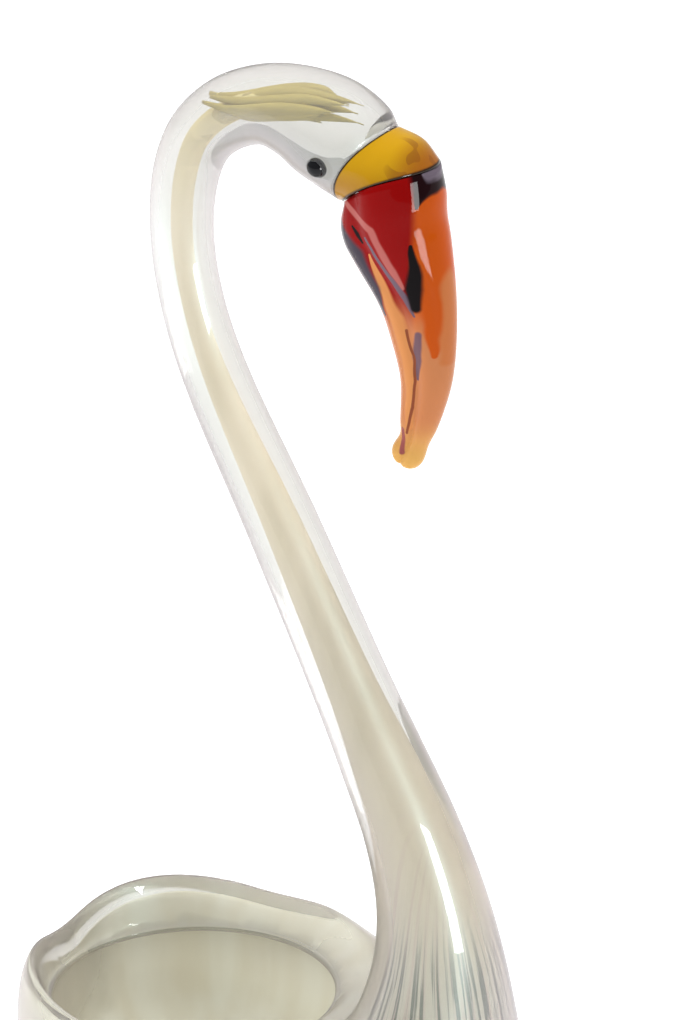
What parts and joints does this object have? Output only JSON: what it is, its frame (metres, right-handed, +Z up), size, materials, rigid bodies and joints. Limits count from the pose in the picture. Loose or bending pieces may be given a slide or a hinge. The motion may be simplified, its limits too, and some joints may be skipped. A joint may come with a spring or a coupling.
{
  "type": "glass swan ornament",
  "caption": "Blown glass swan: an open oval bowl for a body, a slender neck hooked over at the top, an amber cere and a long drooping red-orange bill.",
  "frame": {"origin": "middle of the flat foot, on the surface that the swan stands on", "axes": "+Z up, +X from the tail towards the chest and bill, +Y to the swan's left"},
  "size_m": [0.1428, 0.0966, 0.3195],
  "materials": {
    "clear_glass": "polished, faintly iridised, with a cream layer inside",
    "amber_glass": "polished",
    "red_glass": "polished, streaked from deep red to orange",
    "black_glass": "polished"
  },
  "bodies": {
    "root": {"swan_body": "clear_glass", "cere": "amber_glass", "bill": "red_glass", "eye_left": "black_glass", "eye_right": "black_glass"}
  },
  "joints": []
}
